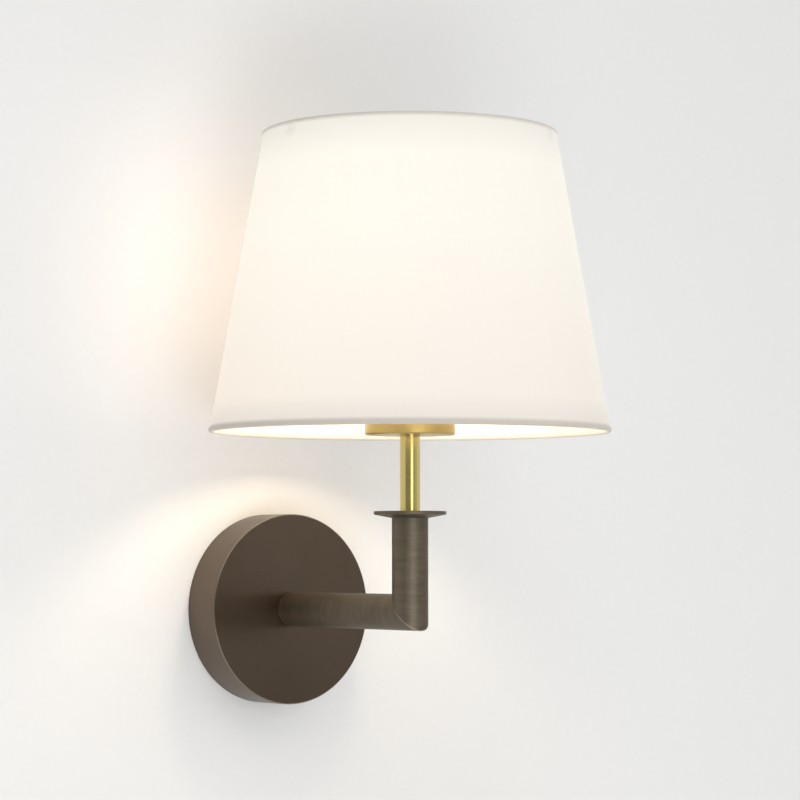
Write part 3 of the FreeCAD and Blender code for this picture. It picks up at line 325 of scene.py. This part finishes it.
def finishes():
    """Materials, by the slot in the record that each one dresses."""
    return {
        "bronze": plate_bronze(),
        "brass": brass("brass", (1500, 1500, 20)),
        "steel": plated_steel("steel", (0.48, 0.48, 0.46), (0.66, 0.67, 0.67)),
        "blackened_steel": plated_steel("blackened_steel", (0.035, 0.03, 0.026), (0.075, 0.065, 0.055)),
        "contact_brass": brass("contact_brass", (900, 900, 900)),
        "white_wire_steel": plastic(
            "white_wire_steel", (0.80, 0.79, 0.76), (0.86, 0.85, 0.82), 0.32, 500.0, 0.03 * MM
        ),
        "black_thermoplastic": plastic("black_thermoplastic", (0.018, 0.018, 0.018), (0.032, 0.031, 0.03)),
        "ivory_thermoplastic": plastic("ivory_thermoplastic", (0.78, 0.75, 0.66), (0.86, 0.84, 0.77), 0.38),
        "opal_glass": opal_glass(),
        "cap_aluminium": brass(
            "cap_aluminium", (900, 900, 900), (0.66, 0.66, 0.67), (0.74, 0.74, 0.75), (0.24, 0.30)
        ),
        "black_glass": plastic(
            "black_glass", (0.012, 0.012, 0.014), (0.03, 0.03, 0.034), 0.12, 300.0, 0.01 * MM
        ),
        "brown_insulation": plastic("brown_insulation", (0.13, 0.055, 0.022), (0.19, 0.085, 0.035), 0.42),
        "blue_insulation": plastic("blue_insulation", (0.03, 0.10, 0.36), (0.05, 0.16, 0.48), 0.42),
        "green_yellow_insulation": striped_insulation("green_yellow_insulation"),
        "liner": liner_finish(),
    }


def dress_nodes(made):
    """Puts the materials on the CAD nodes; the tubes, the collar and the cup have their own brush marks."""
    for part in frame["record"]["subparts"]:
        node, slot = part["node"], part["material_slot"]
        if slot in made:
            NODES[node].data.materials.clear()
            NODES[node].data.materials.append(made[slot])
    brushed = {"arm_tube": (70, 420, 70), "upright_tube": (70, 70, 420), "collar": (30, 30, 900)}
    for node, lines in brushed.items():
        NODES[node].data.materials[0] = tube_bronze("bronze_" + node, lines)
    cup = brass("brass_cup", (40, 40, 1200), (0.47, 0.36, 0.14), (0.50, 0.385, 0.155), (0.30, 0.34))
    NODES["lampholder_cup"].data.materials[0] = cup


# Pieces made in the scene


def add_object(name, data):
    made = bpy.data.objects.new(name, data)
    bpy.context.scene.collection.objects.link(made)
    return made


def revolve(name, profile, material, steps=288, first=0.0, last=360.0):
    """A surface of revolution about the lamp's axis; its UV map gives lengths along the cloth in metres."""
    closed = last - first >= 360
    rings = steps if closed else steps + 1
    vertices, faces, lengths = [], [], [0.0]
    for before, after in zip(profile, profile[1:]):
        lengths.append(lengths[-1] + (after - before).length)
    for ring in range(rings):
        angle = math.radians(first + (last - first) * ring / steps)
        for point in profile:
            vertices.append((point.x * math.cos(angle), AXIS_Y + point.x * math.sin(angle), point.z))
    count = len(profile)
    for ring in range(steps):
        here, there = ring * count, (ring + 1) % rings * count
        for index in range(count - 1):
            faces.append((here + index, there + index, there + index + 1, here + index + 1))
    mesh = bpy.data.meshes.new(name)
    mesh.from_pydata(vertices, [], faces)
    sheet = mesh.uv_layers.new(name="weave")
    around = math.radians(last - first) * MEAN_RADIUS / steps
    for face in mesh.polygons:
        ring, index = divmod(face.index, count - 1)
        places = ((ring, index), (ring + 1, index), (ring + 1, index + 1), (ring, index + 1))
        for loop, (turn, step) in zip(face.loop_indices, places):
            sheet.data[loop].uv = (turn * around, lengths[step])
    mesh.shade_smooth()
    mesh.materials.append(material)
    return add_object(name, mesh)


def thicken(piece, thickness):
    """Gives a surface its thickness, all of it behind the face."""
    solid = piece.modifiers.new("thickness", "SOLIDIFY")
    solid.thickness = thickness
    solid.offset = -1.0


# Cloth of the shade


def hem_turn(centre, first, last):
    """Points of an arc about a hem wire, in the plane of the axis, angles in degrees."""
    points = []
    for step in range(HEM_STEPS + 1):
        angle = math.radians(first + (last - first) * step / HEM_STEPS)
        points.append(centre + Vector((math.cos(angle), 0, math.sin(angle))) * HEM_RADIUS)
    return points


def cloth_out():
    """Direction that the cloth's straight side faces."""
    slope = (TOP_HEM - LOW_HEM).normalized()
    return Vector((slope.z, 0, -slope.x))


def cone_profile(out, lift=0.0, tuck=2.2 * MM):
    """The cloth's straight side between the hems, lifted off it, and ending a tuck before each hem."""
    low_foot, top_foot = LOW_HEM + out * (CLOTH_OUT + lift), TOP_HEM + out * (CLOTH_OUT + lift)
    rise = (top_foot - low_foot).length
    shares = [(tuck + (rise - 2 * tuck) * step / CONE_STEPS) / rise for step in range(CONE_STEPS + 1)]
    return [low_foot.lerp(top_foot, share) for share in shares]


def cloth_profile():
    """Outside of the cloth: round the low hem from its tucked edge, up the cone and over the top hem."""
    out = cloth_out()
    tilt = math.degrees(math.atan2(out.z, out.x))
    low = hem_turn(LOW_HEM, tilt - HEM_TURN, tilt)
    top = hem_turn(TOP_HEM, tilt, tilt + HEM_TURN)
    return low + cone_profile(out) + top


def shade_cloth(material):
    """The cloth with its hems, and the glued seam down the side that faces the wall."""
    cloth = revolve("shade_cloth", cloth_profile(), material)
    thicken(cloth, CLOTH_THICK)
    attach(cloth, "shade")
    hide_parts("shade_fabric")
    straight = cone_profile(cloth_out(), lift=SEAM_LIFT, tuck=1.4 * MM)
    seam = revolve("shade_seam", straight, material, steps=12, first=88.0, last=92.0)
    thicken(seam, SEAM_LIFT)
    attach(seam, "shade")


# Screwed pieces round the lamp axis


def turned(name, corners, material, step=0.3 * MM, sharp=35):
    """A turned piece: its outline goes through the corners, each one a radius and a height in mm."""
    profile = []
    for before, after in zip(corners, corners[1:]):
        start, end = (Vector((radius, 0, height)) * MM for radius, height in (before, after))
        count = max(1, round((end - start).length / step)) if before[0] == after[0] else 1
        profile += [start.lerp(end, index / count) for index in range(count)]
    profile.append(Vector((corners[-1][0], 0, corners[-1][1])) * MM)
    piece = revolve(name, profile, material, steps=120)
    piece.data.set_sharp_from_angle(angle=math.radians(sharp))
    return piece


def cut_thread(piece, low, high, pitch, depth, inside=0.0):
    """A rolled thread between two heights, fading at both ends; points nearer the axis than inside stay."""
    for vertex in piece.data.vertices:
        across, along, height = vertex.co.x, vertex.co.y - AXIS_Y, vertex.co.z
        if math.hypot(across, along) < inside:
            continue
        wave = 0.5 - 0.5 * math.cos(2 * math.pi * height / pitch - math.atan2(along, across))
        fade = max(0.0, min(1.0, 2 * (height - low) / pitch, 2 * (high - height) / pitch))
        kept = 1 - depth * wave * fade / math.hypot(across, along)
        vertex.co.x = across * kept
        vertex.co.y = AXIS_Y + along * kept


def bulb_cap(material):
    """Rolled screw cap of the bulb."""
    outline = ((9.3, 138.3), (13.15, 140.9), (13.15, 157.2), (14.3, 159.7))
    cap = turned("bulb_screw_cap", outline, material)
    cut_thread(cap, low=141.2 * MM, high=156.8 * MM, pitch=3.62 * MM, depth=0.95 * MM)
    thicken(cap, thickness=0.4 * MM)
    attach(cap, "bulb")
    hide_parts("bulb_cap")


def threaded_skirt(material):
    """Skirt of the lampholder, with the thread that the shade ring runs on."""
    outline = (
        (17.55, 121.7), (24.8, 121.7), (24.8, 124.2), (19.75, 124.2), (19.75, 156.9), (18.95, 157.7),
        (15.0, 157.7), (15.0, 155.7), (17.55, 155.7), (17.55, 121.7),
    )
    skirt = turned("holder_threaded_skirt", outline, material)
    cut_thread(skirt, low=126.0 * MM, high=155.6 * MM, pitch=2.5 * MM, depth=0.7 * MM, inside=19 * MM)
    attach(skirt, "lamp")
    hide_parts("holder_skirt")


# Stage, lights and camera


def stage_material(name, colour, glow):
    """Plain matt paint, seen from its front only, with the glow that comes through the shade on to it."""
    made = Finish(name, Roughness=0.9, Emission_Color=(1.0, 0.66, 0.42, 1))
    spread = made.math("POWER", made.math("DIVIDE", made.apart(GLOW_PLACE), GLOW_SIZE), 2.0)
    share = made.math("EXPONENT", made.math("MULTIPLY", spread, -0.5))
    made.wire(made.math("MULTIPLY", share, glow), "Emission Strength")
    roller = made.noise(made.place(), 260.0)
    made.wire(made.tint(roller, [part * 0.985 for part in colour], colour), "Base Color")
    made.wire(made.bump(roller, 0.05 * MM), "Normal")
    back = made.node("NewGeometry").outputs["Backfacing"]
    clear = made.node("BsdfTransparent").outputs["BSDF"]
    mixed = made.node("MixShader", {0: back, 1: made.shader.outputs["BSDF"], 2: clear})
    made.tree.links.new(mixed.outputs["Shader"], made.tree.nodes["Material Output"].inputs["Surface"])
    return made.material


def stage_panel(name, corners, material, faces=((0, 1, 2, 3),)):
    mesh = bpy.data.meshes.new(name)
    mesh.from_pydata(corners, [], faces)
    mesh.materials.append(material)
    add_object(name, mesh)


def build_floor(paint):
    corners = ((-1, -STAGE_DEPTH), (1, -STAGE_DEPTH), (1, WALL_BACK), (-1, WALL_BACK))
    stage_panel("floor", [(side * STAGE_HALF, along, FLOOR_HEIGHT) for side, along in corners], paint)


def build_wall(paint):
    """A wall with a hole behind the plate, so that light reaches the plate's open back from behind."""
    quarter = 24
    corners = []
    for step in range(4 * quarter):
        angle = math.radians(90 * step / quarter)
        corners.append((WALL_HOLE * math.cos(angle), WALL_BACK, WALL_HOLE * math.sin(angle)))
    rim = (
        (STAGE_HALF, 0), (STAGE_HALF, WALL_TOP), (0, WALL_TOP), (-STAGE_HALF, WALL_TOP),
        (-STAGE_HALF, 0), (-STAGE_HALF, FLOOR_HEIGHT), (0, FLOOR_HEIGHT), (STAGE_HALF, FLOOR_HEIGHT),
    )
    corners += [(across, WALL_BACK, height) for across, height in rim]
    faces = []
    for turn in range(4):
        arc = [(turn * quarter + step) % (4 * quarter) for step in range(quarter + 1)]
        outer = [4 * quarter + (2 * turn + step) % 8 for step in range(3)]
        faces.append(outer + arc[::-1])
    stage_panel("wall", corners, paint, faces)


def build_stage():
    paint = stage_material("wall_paint", (0.797, 0.797, 0.793), glow=0.26)
    build_floor(paint)
    build_wall(paint)


def area_light(name, place, target, size, power):
    light = bpy.data.lights.new(name, "AREA")
    light.shape = "RECTANGLE"
    light.size, light.size_y = size
    light.energy = power
    lamp = add_object(name, light)
    lamp.location = place
    lamp.rotation_euler = (Vector(target) - Vector(place)).to_track_quat("-Z", "Y").to_euler()
    lamp.visible_camera = False


def bulb_light():
    """Light of the bulb that leaves the shade downwards."""
    light = bpy.data.lights.new("bulb_light", "SPOT")
    light.energy = 1.2
    light.color = (1.0, 0.82, 0.60)
    light.spot_size = math.radians(160)
    light.spot_blend = 0.15
    light.shadow_soft_size = 28 * MM
    add_object("bulb_light", light).location = BULB_PLACE + Vector((3, 0, -5)) * MM
    NODES["bulb_glass"].visible_shadow = False


def room_light():
    """Even room light, brighter from the ceiling."""
    world = bpy.data.worlds.new("room")
    world.use_nodes = True
    tree = world.node_tree
    direction = tree.nodes.new("ShaderNodeTexCoord")
    axes = tree.nodes.new("ShaderNodeSeparateXYZ")
    ramp = tree.nodes.new("ShaderNodeMapRange")
    ramp.interpolation_type = "SMOOTHSTEP"
    for socket, value in (("From Min", 0.1), ("From Max", 0.9), ("To Min", 0.28), ("To Max", 1.12)):
        ramp.inputs[socket].default_value = value
    tree.links.new(direction.outputs["Generated"], axes.inputs["Vector"])
    tree.links.new(axes.outputs["Z"], ramp.inputs["Value"])
    tree.links.new(ramp.outputs["Result"], tree.nodes["Background"].inputs["Strength"])
    tree.nodes["Background"].inputs["Color"].default_value = (1, 1, 1, 1)
    bpy.context.scene.world = world


def build_lights():
    room_light()
    area_light("front", (-0.76, -2.9, 0.15), (0, 0, 0.1), (1.3, 1.9), 16.3)
    area_light("high", (-1.0, -1.6, 1.8), (0, -0.1, 0.1), (0.8, 0.8), 5.5)
    area_light("low", (-0.9, -1.8, -0.8), (0, -0.1, 0.1), (0.8, 0.8), 10.4)
    area_light("side", (2.8, -1.2, 0.75), (0, -0.1, 0.1), (2.3, 1.8), 8.3)
    area_light("side_front", (1.6, -2.65, 0.75), (0, -0.1, 0.1), (1.7, 1.8), 3.6)
    bulb_light()


def build_camera():
    lens = bpy.data.cameras.new("camera")
    lens.lens = CAMERA_LENS
    lens.sensor_width = 36.0
    camera = add_object("camera", lens)
    camera.location = CAMERA_PLACE
    camera.rotation_euler = CAMERA_LOOK.to_track_quat("-Z", "Y").to_euler()
    bpy.context.scene.camera = camera


def main():
    build_camera()
    build_stage()
    build_lights()
    made = finishes()
    dress_nodes(made)
    shade_cloth(shade_cloth_finish())
    bulb_cap(made["cap_aluminium"])
    threaded_skirt(made["black_thermoplastic"])
    bpy.context.scene.view_settings.view_transform = "Standard"


main()
